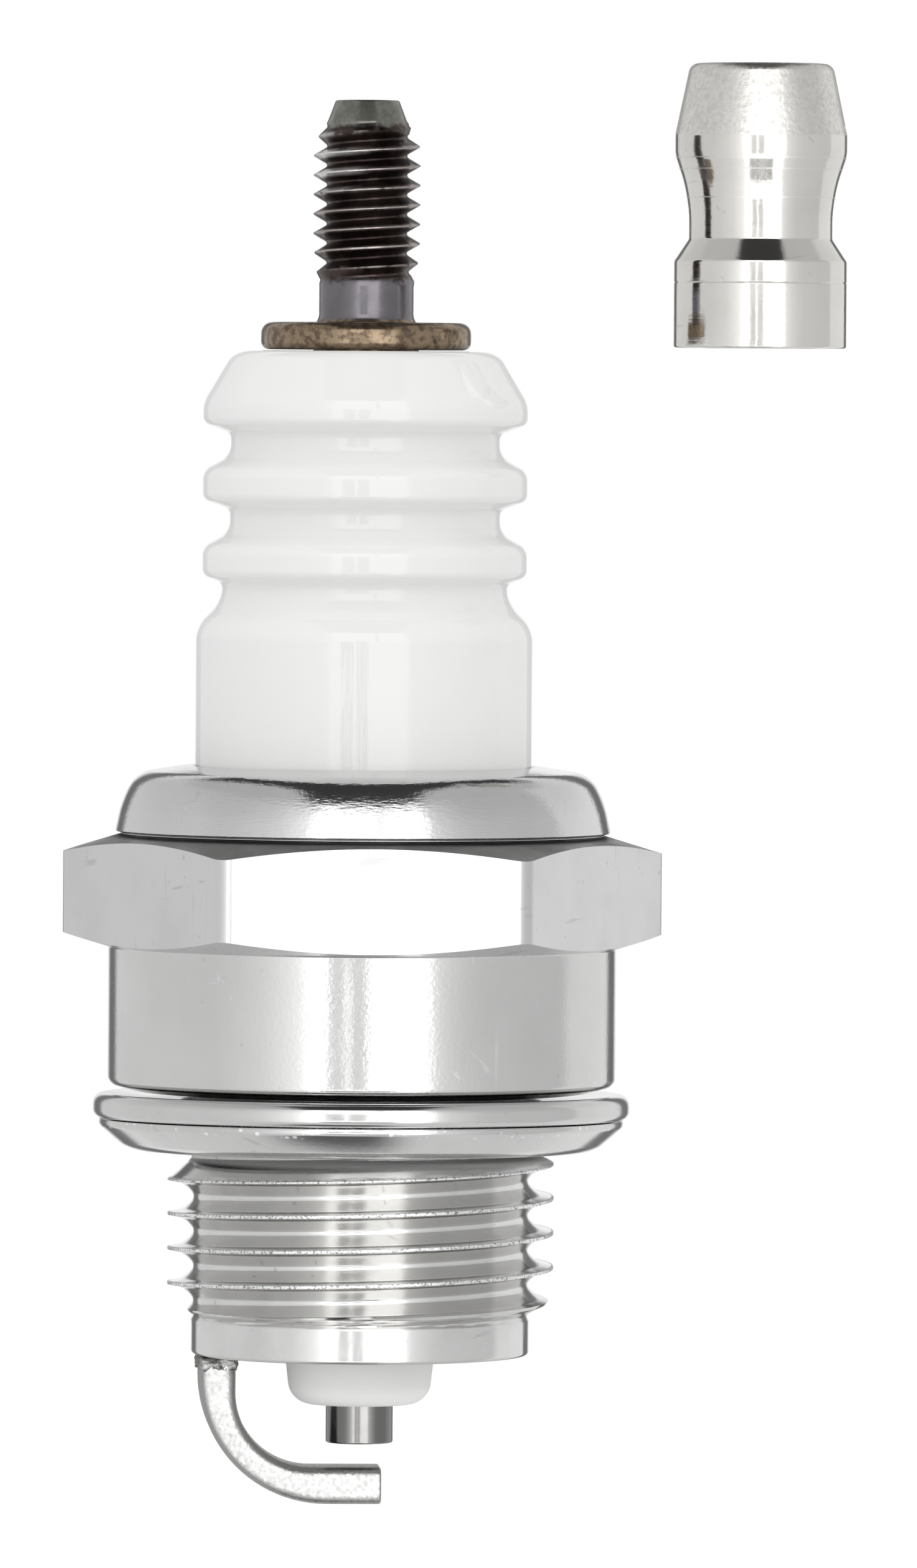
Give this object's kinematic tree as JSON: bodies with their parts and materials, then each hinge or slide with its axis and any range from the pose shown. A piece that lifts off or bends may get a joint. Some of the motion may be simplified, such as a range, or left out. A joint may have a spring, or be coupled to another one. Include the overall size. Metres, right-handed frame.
{
  "type": "spark plug",
  "caption": "Resistor spark plug with a crimped hexagon shell, ribbed ceramic insulator, bent ground electrode, folded gasket and a loose terminal nut for its threaded stud.",
  "frame": {"origin": "centre of the gasket seat, the flat under the shell's collar, on the plug's axis", "axes": "+Z runs along the plug's axis towards the terminal. A flat of the hexagon faces -Y, towards the picture's camera. The ground electrode's leg is at -X and the loose terminal nut at +X."},
  "size_m": [0.0281, 0.0194, 0.052],
  "materials": {
    "nickel_plate": "bright nickel plating over machined steel, lightly scuffed",
    "glazed_alumina": "white glaze, matte and bare on the nose",
    "browned_steel": "dark browned steel with bright wear on the thread's crests",
    "silver_plate": "warm silver plating, matte machined cone at the top",
    "gasket_steel": "bright plated sheet steel",
    "nickel_alloy": "plain drawn nickel alloy",
    "copper": "plain copper, inside the electrode",
    "plain_steel": "plain steel wire and washer, inside the shell",
    "talc": "pressed powder, inside the shell",
    "copper_glass": "fused copper and glass, inside the insulator",
    "carbon_composite": "fused carbon and glass, inside the insulator"
  },
  "bodies": {
    "plug": {"shell": "nickel_plate", "insulator": "glazed_alumina", "terminal_stud": "browned_steel", "upper_packing_ring": "plain_steel", "talc_packing": "talc", "lower_packing_ring": "plain_steel", "inner_seal_washer": "plain_steel", "upper_glass_seal": "copper_glass", "resistor": "carbon_composite", "lower_glass_seal": "copper_glass", "centre_electrode": "nickel_alloy", "electrode_copper_core": "copper", "ground_electrode": "nickel_alloy"},
    "gasket": {"seat_gasket": "gasket_steel"},
    "nut": {"terminal_nut": "silver_plate"}
  },
  "joints": [
    {"name": "gasket_play", "type": "slide", "parent": "plug", "child": "gasket", "axis": [0, 0, 1], "range_m": [0, 0.00015]},
    {"name": "nut_to_stud", "type": "slide", "parent": "plug", "child": "nut", "axis": [-0.7273, 0, 0.6863], "range_m": [0, 0.01952]}
  ]
}
